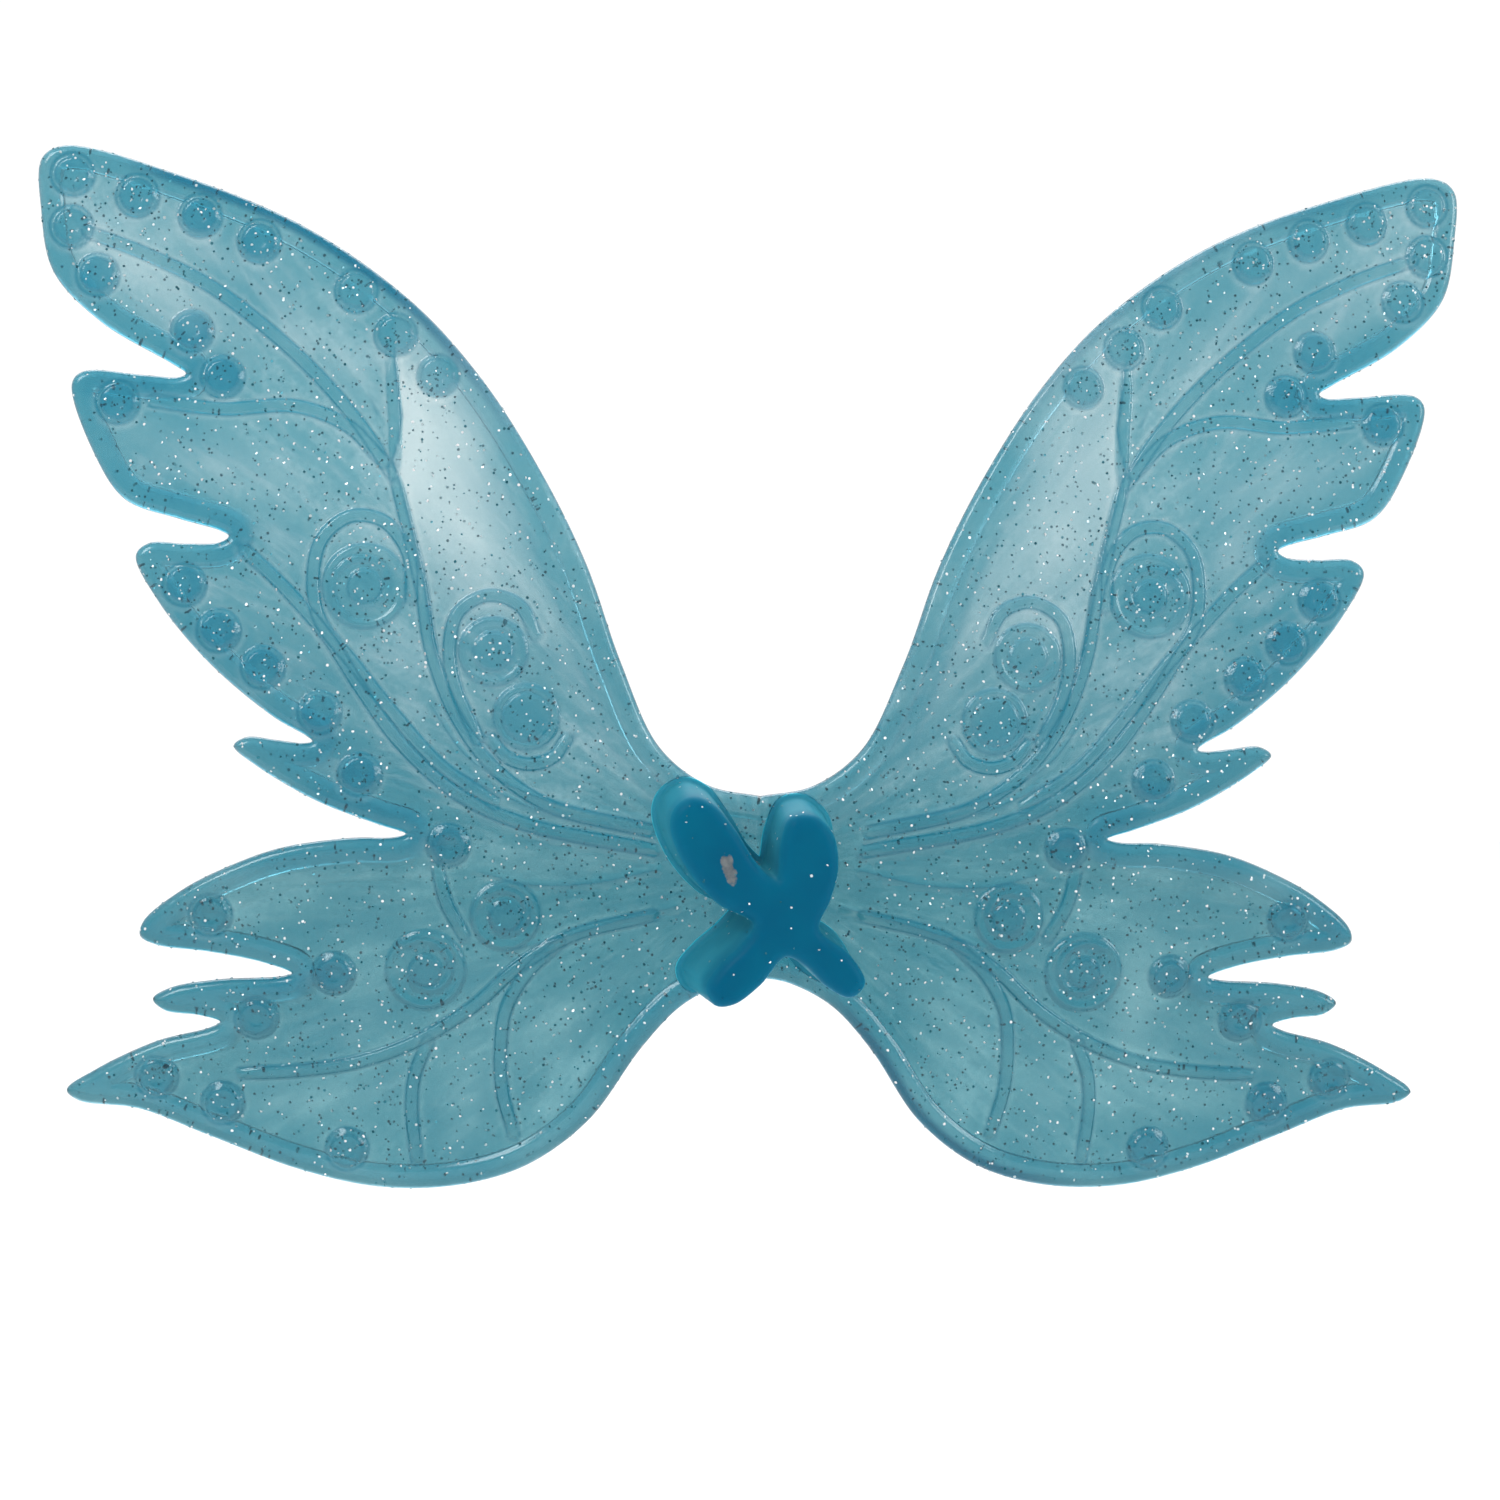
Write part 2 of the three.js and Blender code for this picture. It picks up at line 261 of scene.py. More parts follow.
def smooth(points, spacing, closed=False):
    """Points at an even spacing on a centripetal spline through the given points."""
    p = np.array(points, float)
    if closed:
        p = np.vstack([p[-1], p, p[:2]])
    else:
        p = np.vstack([2 * p[0] - p[1], p, 2 * p[-1] - p[-2]])
    line = []
    for a, b, c, d in zip(p, p[1:], p[2:], p[3:]):
        t1 = math.sqrt(np.linalg.norm(b - a))
        t2 = t1 + math.sqrt(np.linalg.norm(c - b))
        t3 = t2 + math.sqrt(np.linalg.norm(d - c))
        steps = max(2, math.ceil(np.linalg.norm(c - b) / spacing))
        t = np.linspace(t1, t2, steps, endpoint=False)[:, None]
        ab = (t1 - t) / t1 * a + t / t1 * b
        bc = (t2 - t) / (t2 - t1) * b + (t - t1) / (t2 - t1) * c
        cd = (t3 - t) / (t3 - t2) * c + (t - t2) / (t3 - t2) * d
        abc = (t2 - t) / t2 * ab + t / t2 * bc
        bcd = (t3 - t) / (t3 - t1) * bc + (t - t1) / (t3 - t1) * cd
        line.append((t2 - t) / (t2 - t1) * abc + (t - t1) / (t2 - t1) * bcd)
    if not closed:
        line.append(p[-2][None])
    return np.vstack(line)


def ease(low, high, value):
    """A soft step from 0 at low to 1 at high."""
    t = np.clip((value - low) / (high - low), 0, 1)
    return t * t * (3 - 2 * t)


def distance_to_line(points, line, reach):
    """Distance from each point to a chain of points, and how far along the chain it is."""
    best = np.full(len(points), reach, float)
    along = np.zeros(len(points))
    start, end = line[:-1], line[1:]
    step = end - start
    squared = np.maximum((step**2).sum(1), 1e-12)
    travelled = np.concatenate([[0], np.cumsum(np.sqrt(squared))])[:-1]
    block = 8.0
    keys = np.floor(points / block).astype(int)
    order = np.lexsort((keys[:, 1], keys[:, 0]))
    cuts = np.flatnonzero(np.any(np.diff(keys[order], axis=0) != 0, axis=1)) + 1
    for group in np.split(order, cuts):
        low = keys[group[0]] * block - reach
        high = low + block + 2 * reach
        near = np.all(np.minimum(start, end) < high, axis=1)
        near &= np.all(np.maximum(start, end) > low, axis=1)
        if not near.any():
            continue
        offset = points[group][:, None] - start[near]
        t = np.clip((offset * step[near]).sum(2) / squared[near], 0, 1)
        gap = np.linalg.norm(offset - t[..., None] * step[near], axis=2)
        nearest = gap.argmin(1)
        rows = np.arange(len(group))
        closer = gap[rows, nearest] < best[group]
        where = group[closer]
        best[where] = gap[rows, nearest][closer]
        reached = travelled[near][nearest] + t[rows, nearest] * np.sqrt(squared[near][nearest])
        along[where] = reached[closer]
    return best, along


def beside(line, offset):
    """The line shifted sideways, to its left where the offset is positive."""
    ahead = np.gradient(line, axis=0)
    ahead /= np.linalg.norm(ahead, axis=1)[:, None]
    return line + offset * np.stack([-ahead[:, 1], ahead[:, 0]], 1)


edge_line = smooth(FOREWING_EDGE + HINDWING_EDGE, POINT_SPACING)
edge_run = np.concatenate([[0], np.cumsum(np.linalg.norm(np.diff(edge_line, axis=0), axis=1))])


def run_at(point):
    """How far along the outline its nearest point is."""
    return edge_run[np.linalg.norm(edge_line - np.array(point), axis=1).argmin()]


# ---------------------------------------------------------------- veins, studs and discs
# Round veins branch over the front of each lobe, flat-topped studs follow the feather tips, and
# discs with a spiral in them sit in the curls of the veins. All are cut into the mould's front.
RIB_HEIGHT = 0.4
STUD_RADIUS = 2.45
STUD_HEIGHT = 0.7
STUD_STEP = 0.34
SPIRAL_HEIGHT = 0.46
FINE_HEIGHT = 0.13

# x, z and how deep the colour shows on each side
STUDS = [
    (-78.4, 78.9, 0.25, 0.0), (-71.1, 76.6, 0.45, 0.0), (-64, 74.4, 0.7, 0.1),
    (-57.3, 71.6, 0.6, 0.1), (-46.3, 66.1, -0.1, 0.1), (-41.8, 61.2, 0.0, 0.1),
    (-37, 56.6, 0.0, 0.15), (-78.4, 73, 0.3, 0.0), (-75.4, 67.6, 0.75, 0.1),
    (-64.7, 61.4, 0.5, 0.5), (-61.2, 56.2, 0.6, 0.4), (-72.9, 53.2, 0.5, 0.5),
    (-65.1, 32.7, 0.5, 0.4), (-61.2, 27.6, 0.4, 0.4), (-56.2, 23.5, 0.3, 0.35),
    (-49.8, 18.5, 0.3, 0.35), (-45.2, 11.6, 0.3, 0.3), (-35.2, 3.8, 0.45, 0.45),
    (-61.8, -4.5, 0.5, 0.45), (-47.9, -11, 0.5, 0.5), (-56.6, -16.3, 0.35, 0.4),
    (-67.9, -23.4, 0.4, 0.4), (-60.4, -26.3, 0.3, 0.35), (-46.3, -31.4, 0.2, 0.3),
]
# x, z, outer radius, eye radius, turns of the spiral
DISCS = [
    (-44.9, 32.8, 4.9, 1.9, 1.5),
    (-30.4, 25.6, 4.0, 2.2, 0),
    (-26.6, 18.3, 3.8, 2.7, 0),
    (-28.7, -4.1, 4.0, 1.8, 1.2),
    (-37.6, -10.4, 4.6, 1.8, 1.2),
]
# centre lines of the veins; the second one bounds the clear pane
RIBS = [
    [(-76.5, 72.4), (-70, 70), (-63, 66.6), (-56, 61.5), (-50, 56), (-45.5, 50.7), (-42, 45.5)],
    [(-42.2, 59), (-42, 55), (-41.7, 50.5), (-41.6, 45.2)],
    [(-69, 53.4), (-61, 52.6), (-53, 53), (-47, 50.8), (-43, 46.8)],
    [(-41.8, 46), (-40.3, 40), (-38.6, 33), (-37.3, 25.5), (-34.3, 18), (-30, 12.4), (-24, 8.4),
     (-12.5, 5.6)],
    [(-58.5, 36.8), (-54, 32.6), (-49, 27), (-45, 21), (-40.5, 15), (-34.5, 9.8), (-27, 6.4),
     (-12, 3.4)],
    [(-39.6, 31.5), (-40.1, 36.6), (-43, 40.2), (-46.7, 40.6), (-49.8, 38), (-50.7, 33.5),
     (-49.9, 29), (-46, 24), (-41.5, 18.5), (-36, 12.6), (-30, 8.6)],
    [(-25.6, 27.5), (-27.5, 30.8), (-31, 31.9), (-34.3, 30), (-35.3, 26), (-34.6, 21.5),
     (-32, 15.8)],
    [(-30.6, 15.8), (-28.8, 13.8), (-26.3, 13), (-23.6, 13.8), (-22, 16)],
    [(-58.5, -22.9), (-51, -22.3), (-45, -21.2), (-38.8, -18.8), (-32.5, -14.8), (-27, -9.8),
     (-21, -6.3), (-12, -4)],
    [(-37.2, -18.6), (-38.7, -22.7), (-39, -26.5), (-38.4, -32.5)],
    [(-22.5, -7.2), (-26, -10.4), (-28.4, -14.6), (-29, -19), (-28.8, -24), (-27.4, -29.4)],
    [(-36.4, 1.4), (-35.4, -2.6), (-33.3, -6.4)],
]
PANE_VEIN = 1
# fine flow lines that gather at the plug
FINE_LINES = [
    [(-38, 20.5), (-33, 13.6), (-26, 9.6), (-12.5, 6.4)],
    [(-35.5, 12.9), (-30, 9.9), (-24, 7.4), (-12, 4.7)],
    [(-37, 10.3), (-30, 6.5), (-22, 4.4), (-12, 2.6)],
    [(-33, 1.2), (-26, -0.6), (-19, -0.4), (-11.5, 1.2)],
    [(-30, -8.6), (-22, -6.4), (-16, -4.6), (-9.5, -3)],
    [(-45.2, 55.1), (-44.4, 53.6), (-43.8, 52.3)],
]


def ring(centre, radius):
    count = max(8, int(math.tau * radius / POINT_SPACING))
    angle = np.arange(count) * math.tau / count + radius
    return np.array(centre) + radius * np.stack([np.cos(angle), np.sin(angle)], 1)


def spiral(disc):
    x, z, outer, eye, turns = disc
    t = np.linspace(0, 1, 90)[:, None]
    angle = t * turns * math.tau + 1.0
    radius = eye * 0.4 + (outer - 0.9 - eye * 0.4) * t
    return np.array((x, z)) + radius * np.hstack([np.cos(angle), np.sin(angle)])


rib_lines = [smooth(points, POINT_SPACING) for points in RIBS]
spiral_lines = [spiral(disc) for disc in DISCS if disc[4]]
fine_lines = [smooth(points, POINT_SPACING) for points in FINE_LINES]


def away_from(p, centre):
    return np.linalg.norm(p - np.array(centre), axis=1)


def relief(p):
    """Height over the front of the panel: veins, studs, discs and their curls."""
    height = np.zeros(len(p))
    for line in rib_lines:
        gap, along = distance_to_line(p, line, 2)
        total = np.linalg.norm(np.diff(line, axis=0), axis=1).sum()
        taper = ease(-1.0, 3.0, np.minimum(along, total - along))
        body = 1 - ease(0.45, 0.82, gap / (0.55 + 0.45 * taper))
        height = np.maximum(height, RIB_HEIGHT * (0.4 + 0.6 * taper) * body)
    for *centre, _, _ in STUDS:
        r = away_from(p, centre)
        button = STUD_STEP * (1 - ease(STUD_RADIUS - 0.2, STUD_RADIUS, r))
        button += (STUD_HEIGHT - STUD_STEP) * (1 - ease(1.78, 2.04, r))
        button -= 0.1 * (1 - ease(0.6, 1.1, r))
        height = np.maximum(height, button)
    for *centre, outer, eye, _ in DISCS:
        r = away_from(p, centre)
        disc = 0.22 * (1 - ease(outer - 0.25, outer, r))
        disc += 0.16 * ease(outer - 1.05, outer - 0.7, r) * (1 - ease(outer - 0.4, outer, r))
        disc += 0.32 * (1 - ease(eye - 0.2, eye + 0.15, r))
        height = np.maximum(height, disc)
    for line in spiral_lines:
        gap, _ = distance_to_line(p, line, 2)
        height = np.maximum(height, SPIRAL_HEIGHT * (1 - ease(0.2, 0.5, gap)) * (gap < 2))
    for line in fine_lines:
        gap, along = distance_to_line(p, line, 2)
        height += FINE_HEIGHT * (1 - ease(0.12, 0.38, gap)) * ease(0, 3, along) * (gap < 2)
    return height


# ---------------------------------------------------------------- flat pattern
# Before it bends, the left half of the sheet is one flat pattern. Its points follow every edge,
# vein, stud and disc, so that the steps of the moulding stay crisp, and rows fill the panels.
CLEAR_OF_EDGE = 0.045
CLEAR_OF_SPLIT = 0.12
LEAST_SPACING = 0.11
INWARD_LOOPS = (
    0.05, 0.16, 0.34, 0.6, 0.95, 1.5, 2.1, 2.3, 2.5, 2.7, 2.9, 3.1, 3.5, 3.8, 4.2, 4.5, 4.8, 5.1,
)
RIB_ASIDES = (0, 0.3, -0.3, 0.45, -0.45, 0.58, -0.58, 0.7, -0.7, 0.82, -0.82, 1.05, -1.05)
FINE_ASIDES = (0, 0.2, -0.2, 0.4, -0.4)
SPIRAL_ASIDES = (0, 0.25, -0.25, 0.45, -0.45)
STUD_RINGS = (0.01, 0.6, 0.85, 1.1, 1.5, 1.74, 1.86, 1.98, 2.1, 2.26, 2.38, 2.5, 2.75)
EYE_RINGS = (-0.35, -0.15, 0, 0.15, 0.35)
DISC_RINGS = (-1.1, -0.85, -0.65, -0.4, -0.2, 0, 0.25)


def thinned(points, least):
    """The points in turn, without those that fall too close to one already kept."""
    kept, taken = [], {}
    for point in points:
        cell = (int(point[0] // least), int(point[1] // least))
        around = [
            taken.get((cell[0] + i, cell[1] + j)) for i in (-1, 0, 1) for j in (-1, 0, 1)
        ]
        if any(
            other is not None
            and (other[0] - point[0]) ** 2 + (other[1] - point[1]) ** 2 < least**2
            for other in around
        ):
            continue
        taken[cell] = point
        kept.append(point)
    return np.array(kept)


def between(a, b):
    """Points at the usual spacing along a straight line, without its two ends."""
    count = int(np.linalg.norm(np.subtract(b, a)) / POINT_SPACING)
    return np.linspace(a, b, count + 1)[1:-1]


groups = []
for inward in INWARD_LOOPS:
    loop = beside(edge_line, inward)
    gap, _ = distance_to_line(loop, edge_line, 6)
    groups.append(loop[gap > inward * 0.94])
groups += [beside(line, aside) for line in rib_lines for aside in RIB_ASIDES]
groups += [beside(line, aside) for line in fine_lines for aside in FINE_ASIDES]
groups += [ring(centre, radius) for *centre, _, _ in STUDS for radius in STUD_RINGS]
for *centre, outer, eye, _ in DISCS:
    groups += [ring(centre, eye + wider) for wider in EYE_RINGS]
    groups += [ring(centre, outer + wider) for wider in DISC_RINGS]
groups += [beside(line, aside) for line in spiral_lines for aside in SPIRAL_ASIDES]
for row, z in enumerate(np.arange(-37, 84, 0.7)):
    x = np.arange(-83 + 0.4 * (row % 2), 0, 0.8)
    groups.append(np.stack([x, np.full(len(x), z)], 1))

# the outline, the middle line and the two lines where the lobes begin are kept as edges
fore_corner, notch_corner, hind_corner = (
    int(away_from(edge_line, place).argmin()) for place in (FOREWING_ROOT, NOTCH, HINDWING_ROOT)
)
notch_point = edge_line[notch_corner]
middle = between(edge_line[-1], edge_line[0])
fore_split = between(edge_line[fore_corner], notch_point)
hind_split = between(notch_point, edge_line[hind_corner])
fixed = np.vstack([edge_line, middle, fore_split, hind_split])
outline_loop = list(range(len(edge_line) + len(middle)))
split_edges = []
first = len(outline_loop)
for line, begin, end in (
    (fore_split, fore_corner, notch_corner),
    (hind_split, notch_corner, hind_corner),
):
    chain = [begin, *range(first, first + len(line)), end]
    split_edges += list(zip(chain, chain[1:]))
    first += len(line)

inner = np.vstack(groups)
around_half = np.vstack([edge_line, middle, edge_line[:1]])
for line, clearance in (
    (around_half, CLEAR_OF_EDGE),
    (fore_split, CLEAR_OF_SPLIT),
    (hind_split, CLEAR_OF_SPLIT),
):
    gap, _ = distance_to_line(inner, line, 3)
    inner = inner[gap > clearance]
pattern = np.vstack([fixed, thinned(inner, LEAST_SPACING)])
flat, _, triangles, *_ = delaunay_2d_cdt(
    [Vector(p) for p in pattern.tolist()], split_edges, [outline_loop], 1, 1e-7
)
flat = np.array([tuple(p) for p in flat])
triangles = np.array(triangles)

# how far the front and the back stand from the sheet's middle at every point of the pattern
half_rim, half_panel = RIM_THICKNESS / 2, PANEL_THICKNESS / 2
from_edge, along_edge = distance_to_line(flat, edge_line, 30)
on_edge = from_edge < 1e-4
rim = 1 - ease(RIM_WIDTH - 0.45, RIM_WIDTH + 0.4, from_edge)
# a shallow second step runs inside the rim, highest along the forewing's inner edge
inner_edge = 1 - ease(run_at((-20, 35.5)), run_at((-40, 65)), along_edge)
shallow = 0.14 * (1 - ease(4.3, 5.0, from_edge)) + 0.06 * (1 - ease(3.5, 3.8, from_edge))
raised = relief(flat) + shallow * (0.35 + 0.65 * inner_edge)
back_height = half_panel + (half_rim - half_panel) * rim
front_height = np.maximum(back_height, half_panel + raised)
round_edge = np.sqrt(1 - (1 - np.clip(from_edge / EDGE_ROUNDING, 0, 1)) ** 2)
front_height = front_height * round_edge
back_height = back_height * round_edge
front_height[on_edge] = back_height[on_edge] = 0


# ---------------------------------------------------------------- tint of the vinyl
# One blue dye colours the clear vinyl, so it looks deeper where the light has a longer way to go:
# at the flanks of raised shapes, where painted shade is added too, in studs and along thick edges.
# Panes that ran thin look clear, with painted highlights over them.
LEFT, RIGHT = 1, -1
# right-hand flank of the vein that bounds the clear pane of the forewing
CLEAR_EDGE = [
    (-41.9, 59), (-41.6, 56), (-41, 52), (-41.3, 49.3), (-42, 47), (-41.3, 45), (-39.9, 40),
    (-38.2, 33), (-36.9, 25.5), (-34, 18),
]
# paler patches, part thin vinyl and part painted highlight, so the two sides differ: x, z, half
# lengths, turn in degrees, how pale on each side
PALE_AND_HIGHLIGHT_ZONES = [
    (-68, 66.3, 9, 2.6, -35, 0.38, 0.15),
    (-63, 70.5, 8, 1.8, -28, 0.18, 0.10),
    (-50, 60, 8, 2.5, -45, 0.16, 0.12),
    (-60, 46, 11, 3, -15, 0.16, 0.16),
    (-55, 38, 4, 2, -40, 0.10, 0.25),
    (-33, 36, 11, 4.5, -66, 0.30, 0.20),
    (-24, 29, 10, 1.6, -66, 0.20, 0.25),
    (-61, 0, 6, 1.8, -10, 0.22, 0.30),
    (-44, -14, 2.6, 7, 0, 0.10, 0.38),
    (-50, -25.5, 8, 2, 5, 0.22, 0.18),
    (-33, -24, 3, 6, 0, 0.20, 0.10),
    (-22, -16, 7, 2.5, 42, 0.22, 0.16),
    (-24, 1.5, 8, 1.5, 4, 0.18, 0.12),
]
# and patches that show deeper, set for each side, written the same way
DEEP_ZONES = [
    (-66, 42.2, 6.5, 2.2, -15, 0.55, 0.4),
    (-69, 55.6, 8, 1.7, 0, 0.6, 0.35),
    (-71, 61.8, 7, 2, -33, 0.4, 0.3),
    (-62.5, 57.5, 4.5, 4, 0, 0.4, 0.35),
    (-60.5, 38.2, 3.5, 2.6, 0, 0.45, 0.4),
    (-58.5, 25.5, 12, 2.4, -44, 0.45, 0.4),
    (-47, 9.4, 8, 2, -28, 0.45, 0.35),
    (-40, 6, 4, 4, 0, 0.35, 0.3),
    (-26, 13, 12, 5, -35, 0.22, 0.2),
    (-14, 2, 12, 8, 0, 0.3, 0.25),
    (-66, -6.4, 6, 2, -20, 0.35, 0.35),
    (-52, -13.5, 8, 3, 0, 0.4, 0.4),
    (-71, -24, 8, 2, -18, 0.35, 0.35),
    (-30, -9, 10, 4, 20, 0.25, 0.2),
]


def hairline(gap, place, width):
    """A soft line that peaks where the gap is the given one."""
    return np.exp(-(((gap - place) / width) ** 2))


def add_zones(value_on, zones):
    """Adds soft oval patches to the values of the two sides."""
    for x, z, length, width, degrees, on_left, on_right in zones:
        turn = math.radians(degrees)
        dx, dz = flat[:, 0] - x, flat[:, 1] - z
        u = (dx * math.cos(turn) + dz * math.sin(turn)) / length
        v = (dz * math.cos(turn) - dx * math.sin(turn)) / width
        patch = np.exp(-(u**2) - v**2)
        value_on[LEFT] += on_left * patch
        value_on[RIGHT] += on_right * patch


# thin deep lines at the flank of every raised shape: deeper dye, and painted shade for the dark
# lines that refraction draws there
flank = 0.75 * (1 - ease(0.15, 0.5, from_edge)) + 0.38 * hairline(from_edge, RIM_WIDTH, 0.25)
flank += 0.22 * hairline(from_edge, 4.7, 0.3) * inner_edge
for *centre, _, _ in STUDS:
    r = away_from(flat, centre)
    flank = np.where(r < 2.0, flank * 0.3, flank)
    flank += 1.0 * hairline(r, 2.42, 0.18) + 0.8 * hairline(r, 1.87, 0.15)
    flank += 0.2 * hairline(r, 0.85, 0.2)
for *centre, outer, eye, _ in DISCS:
    r = away_from(flat, centre)
    flank += 0.85 * hairline(r, outer - 0.12, 0.17) + 0.55 * hairline(r, eye, 0.17)
for number, line in enumerate(rib_lines):
    gap, _ = distance_to_line(flat, line, 2)
    flank += (0.3 if number == PANE_VEIN else 1.0) * hairline(gap, 0.7, 0.15)
for line in spiral_lines:
    gap, _ = distance_to_line(flat, line, 2)
    flank += 0.6 * hairline(gap, 0.36, 0.13)
for line in fine_lines:
    gap, along = distance_to_line(flat, line, 2)
    flank += 0.6 * hairline(gap, 0.0, 0.17) * ease(0, 3, along)
pane_edge = np.array(CLEAR_EDGE)[::-1]
past_vein = flat[:, 0] - np.interp(flat[:, 1], pane_edge[:, 1], pane_edge[:, 0])
beside_pane = ease(20, 28, flat[:, 1]) * (1 - ease(58.5, 59.5, flat[:, 1]))
flank = np.clip(flank + 0.9 * hairline(past_vein, 0, 0.17) * beside_pane, 0, 1)

# the clear pane of the forewing, with a painted highlight over it that is much stronger on the left
# wing, the pale patches, and a painted highlight line beside every vein
pane_highlight = np.exp(-(((flat[:, 1] - 51) / 7.5) ** 2)) * np.exp(-np.clip(past_vein, 0, 99) / 3.6)
wide = np.exp(-(((flat[:, 1] - 47) / 12) ** 2)) * (1 - ease(6, 15, past_vein))
in_pane = ease(0.0, 0.25, past_vein) * (flat[:, 0] < -15)
pale_and_highlight_on = {
    LEFT: in_pane * (0.86 * pane_highlight + 0.5 * wide),
    RIGHT: in_pane * (0.2 * pane_highlight + 0.36 * wide),
}
add_zones(pale_and_highlight_on, PALE_AND_HIGHLIGHT_ZONES)
painted_vein_highlight = np.zeros(len(flat))
for line in rib_lines:
    gap, _ = distance_to_line(flat, line, 2)
    painted_vein_highlight = np.maximum(painted_vein_highlight, 0.17 * hairline(gap, 1.0, 0.16))
pale_and_highlight_on = {side: value + painted_vein_highlight for side, value in pale_and_highlight_on.items()}

# the deep patches, the caps of the studs and the discs, where the flakes also crowd together, and
# the painted highlights round the studs
deep_on = {LEFT: np.zeros(len(flat)), RIGHT: np.zeros(len(flat))}
crowd = np.ones(len(flat))
add_zones(deep_on, DEEP_ZONES)
for *centre, on_left, on_right in STUDS:
    r = away_from(flat, centre)
    under = 1 - ease(1.75, 2.0, r)
    # painted highlights: a paler ring on each stud's step, and a pale halo round it that is stronger
    # on its lower side
    painted_ring_highlight = 0.45 * hairline(r, 2.15, 0.17)
    lower_side = 0.55 - 0.45 * (flat[:, 1] - centre[1]) / (r + 0.1)
    painted_halo_highlight = 0.25 * hairline(r, 2.85, 0.25) * lower_side
    for side, on_side in ((LEFT, on_left), (RIGHT, on_right)):
        deep_on[side] += on_side * under - painted_ring_highlight
        pale_and_highlight_on[side] += painted_halo_highlight
    crowd += 1.6 * (1 - ease(0.8, 1.9, r))
for *centre, outer, _, _ in DISCS:
    under = 0.25 * (1 - ease(outer - 1.5, outer, away_from(flat, centre)))
    crowd += 3.2 * under
    deep_on = {side: value + under for side, value in deep_on.items()}
# the rim's tint is thinner along the top edge and under the hindwings than round the feathers
low_edge = ease(run_at((-62, -30.3)), run_at((-52, -34)), along_edge)
low_edge *= 1 - ease(run_at((-13, -19.1)), run_at((-6, -13)), along_edge)
top_edge = 1 - ease(run_at((-52, 73.3)), run_at((-75, 81)), along_edge)
pale_rim = rim * np.maximum(np.maximum(0.3, top_edge), 0.6 * low_edge) * (from_edge > 0.3)
covered = np.clip(raised / 0.3, 0, 1) * 0.7 + 0.3 * rim
deep_on = {side: np.clip(value - pale_rim, -1.0, 0.85) for side, value in deep_on.items()}
pale_and_highlight_on = {side: np.clip(value * (1 - covered), 0, 0.9) for side, value in pale_and_highlight_on.items()}

# a deep blue line painted along the outermost edge for the light refracted through it edge-on: over
# the left forewing, under the right hindwing
top_run = ease(run_at((-25, 45.5)), run_at((-36, 61)), along_edge)
top_run *= 1 - ease(run_at((-66, 79)), run_at((-75, 81)), along_edge)
low_run = ease(run_at((-43, -35.9)), run_at((-26, -33.1)), along_edge)
low_run *= 1 - ease(run_at((-13, -19.1)), run_at((-6, -13)), along_edge)
edge_refraction_line = 1 - ease(0.7, 1.5, from_edge)
edge_refraction_on = {
    LEFT: edge_refraction_line * np.maximum(top_run, 0.15 * low_run),
    RIGHT: edge_refraction_line * np.maximum(0.4 * top_run, low_run),
}
# the colour is deeper in the hindwings and paler towards the tips of the forewings, and the right
# half is made darker all over, which is painted shade
tone = ease(14, 48, flat[:, 1]) - (1 - ease(-2, 18, flat[:, 1])) * (1 - 0.4 * rim)
tone_and_shade_on = {LEFT: tone, RIGHT: tone - 0.12}
# the vinyl flowed outwards from the plug, so its streaks fan out from there
from_plug = np.hypot(flat[:, 0], flat[:, 1] - 1)
bearing = np.arctan2(flat[:, 1] - 1, -flat[:, 0])
flow_at = np.stack([bearing * 9, np.log(from_plug + 8) * 2.2, np.zeros(len(flat))], 1)

vinyl = Finish("glitter_vinyl")
place = vinyl.node("ShaderNodeTexCoord", {}, {}, out=3)
flow = vinyl.node("ShaderNodeAttribute", {"attribute_name": "flow"}, {}, out=1)


def vinyl_noise(where, scale, detail, **more):
    return vinyl.node(
        "ShaderNodeTexNoise", {}, {"Vector": where, "Scale": scale, "Detail": detail, **more}
    )


thick = vinyl.painted("thickness")
tone_at = vinyl.painted("tone")
cloud = vinyl_noise(place, 55.0, 3.0, Roughness=0.6)
mottle = vinyl_noise(place, 420.0, 2.0)
crumb = vinyl_noise(place, 1500.0, 2.0)
streak = vinyl_noise(flow, 1.0, 3.0, Roughness=0.6)
wisp = vinyl_noise(flow, 3.4, 5.0, Roughness=0.62, Distortion=0.6)
grain = vinyl_noise(place, 900.0, 2.0)
ripple = vinyl_noise(place, 90.0, 1.0)
depth = thick + (crumb - 0.5) * 0.7 + (cloud - 0.5) * 1.8 + (streak - 0.5) * 2.2
depth = depth + (mottle - 0.5) * 0.3 + vinyl.painted("deep") * 0.9
tint = vinyl.node(
    "ShaderNodeValToRGB",
    {
        "stops": [
            (0.0, (0.27, 0.47, 0.53)),
            (0.25, (0.118, 0.335, 0.402)),
            (0.5, (0.070, 0.288, 0.365)),
            (0.75, (0.045, 0.262, 0.350)),
            (1.0, (0.018, 0.215, 0.315)),
        ]
    },
    {0: (depth - 0.4) / 2.2},
)
haze = ((wisp - 0.5) * 5.0).clamp() * 0.5
tint = vinyl.mix(haze * (1.6 - thick).clamp(), tint, (0.40, 0.55, 0.60, 1))
# the flank lines: painted shade along every raised shape
tint = vinyl.mix(vinyl.painted("flank"), tint, (0.001, 0.155, 0.245, 1))
# painted deep blue line of refracted light along the outermost edge
tint = vinyl.mix(vinyl.painted("edge_depth"), tint, (0.0, 0.14, 0.235, 1))
# paler where the vinyl is clear, plus painted highlights: over the pane, beside the veins and round
# the studs
tint = vinyl.mix(vinyl.painted("clear"), tint, (0.52, 0.66, 0.69, 1))
